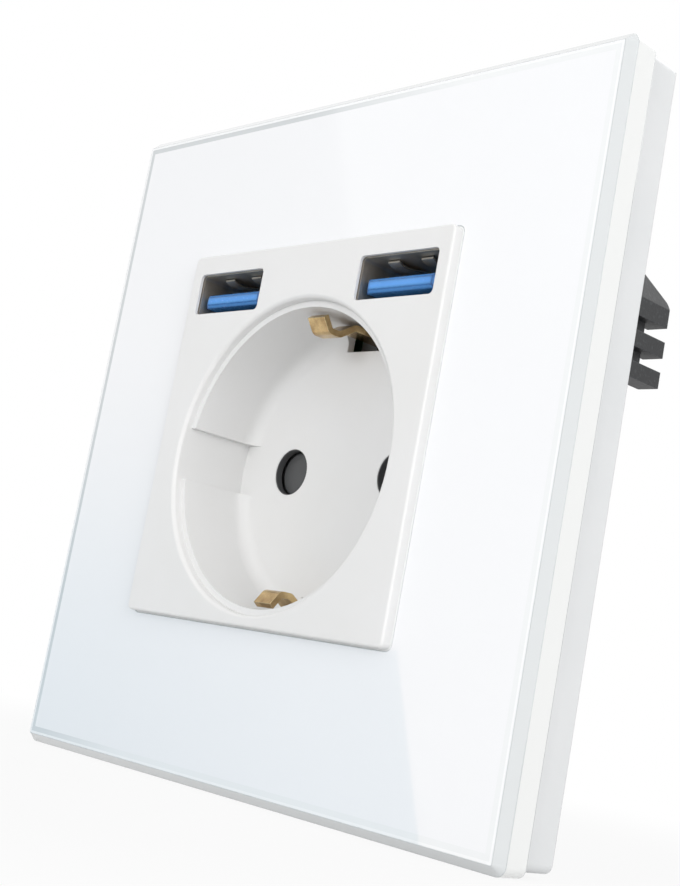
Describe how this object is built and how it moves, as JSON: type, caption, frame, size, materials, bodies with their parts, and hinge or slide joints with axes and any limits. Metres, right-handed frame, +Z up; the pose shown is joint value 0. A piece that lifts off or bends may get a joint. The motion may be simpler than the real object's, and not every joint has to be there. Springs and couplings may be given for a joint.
{
  "type": "usb wall socket",
  "caption": "Flush wall socket with a square white glass panel, a round earthed plug well with side earth clips, shuttered pin holes and charging ports above the well.",
  "frame": {"origin": "centre of the support plate's back face, on the wall plane, midway between the box screws", "axes": "+X to the right seen from the front, +Y into the wall, +Z up"},
  "size_m": [0.086, 0.0381, 0.086],
  "materials": {
    "painted_glass": "polished toughened glass painted white on its back",
    "frame_white": "fine satin moulding",
    "cover_white": "satin moulding",
    "shutter_grey": "satin moulding",
    "housing_dark": "fine spark-eroded moulding",
    "contact_brass": "rolled, bare",
    "zinc_steel": "zinc plated",
    "spring_steel": "drawn wire",
    "shell_steel": "nickel plated",
    "tongue_blue": "moulded",
    "board_green": "solder resist on glass laminate",
    "core_black": "ferrite and sleeve"
  },
  "bodies": {
    "socket": {"glass_panel": "painted_glass", "panel_frame": "frame_white", "support_plate": "zinc_steel", "socket_cover": "cover_white", "shutter_spring": "spring_steel", "contact_carrier": "housing_dark", "earth_strip": "contact_brass", "live_contact": "contact_brass", "neutral_contact": "contact_brass", "live_terminal": "contact_brass", "neutral_terminal": "contact_brass", "earth_terminal": "contact_brass", "terminal_screws": "zinc_steel", "supply_pins": "contact_brass", "usb_board": "board_green", "usb_shell_left": "shell_steel", "usb_shell_right": "shell_steel", "usb_tongue_left": "tongue_blue", "usb_tongue_right": "tongue_blue", "usb_blades_left": "contact_brass", "usb_blades_right": "contact_brass", "transformer": "core_black", "capacitor": "core_black", "base_housing": "housing_dark", "housing_screws": "zinc_steel"},
    "shutter": {"shutter": "shutter_grey"}
  },
  "joints": [
    {"name": "shutter_turn", "type": "hinge", "parent": "socket", "child": "shutter", "pos_m": [0, 0.0034, -0.0028], "axis": [0, 1, 0], "range_deg": [0, 46], "stiffness_Nm_per_rad": 0.001, "springref_deg": -17.19, "deforming": ["shutter_spring"]}
  ]
}
